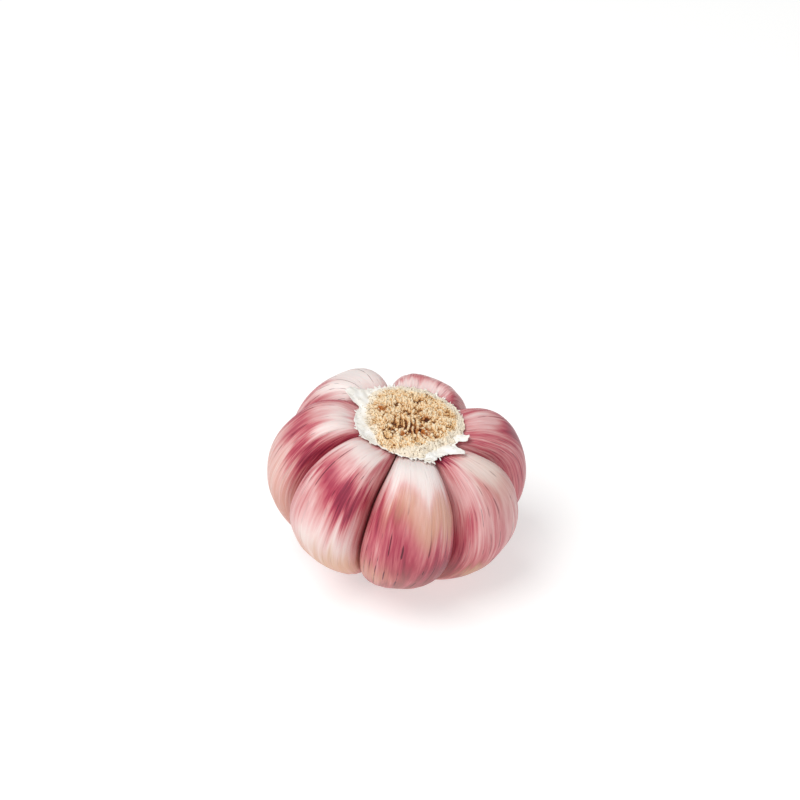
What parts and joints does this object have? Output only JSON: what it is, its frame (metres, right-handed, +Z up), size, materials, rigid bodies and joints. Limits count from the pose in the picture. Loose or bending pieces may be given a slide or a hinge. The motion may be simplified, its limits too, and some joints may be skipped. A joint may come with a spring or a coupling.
{
  "type": "garlic bulb",
  "caption": "Purple-skinned garlic bulb with its wrapper peeled away, resting root plate up on the tips of its cloves.",
  "frame": {"origin": "on the surface that the bulb rests on, under the middle of its bounding box", "axes": "+Z up, from the surface towards the root plate; +X right and +Y away, seen from the picture's camera"},
  "size_m": [0.058, 0.053, 0.0425],
  "materials": {
    "clove_skin": "moist fleshy clove under a thin satin skin, purple-pink streaked on creamy white",
    "dry_roots": "dry corky tan, matt and rough",
    "white_skin": "thin white papery skin, matt",
    "dry_stalk": "dry straw-coloured fibrous stalk, matt",
    "dry_sheath": "crumpled dry leaf sheath, matt"
  },
  "bodies": {
    "root": {"clove_1": "clove_skin", "clove_2": "clove_skin", "clove_3": "clove_skin", "clove_4": "clove_skin", "clove_5": "clove_skin", "clove_6": "clove_skin", "clove_7": "clove_skin", "root_plate": "dry_roots", "skin_collar": "white_skin", "stalk": "dry_stalk", "neck_sheath": "dry_sheath"}
  },
  "joints": []
}
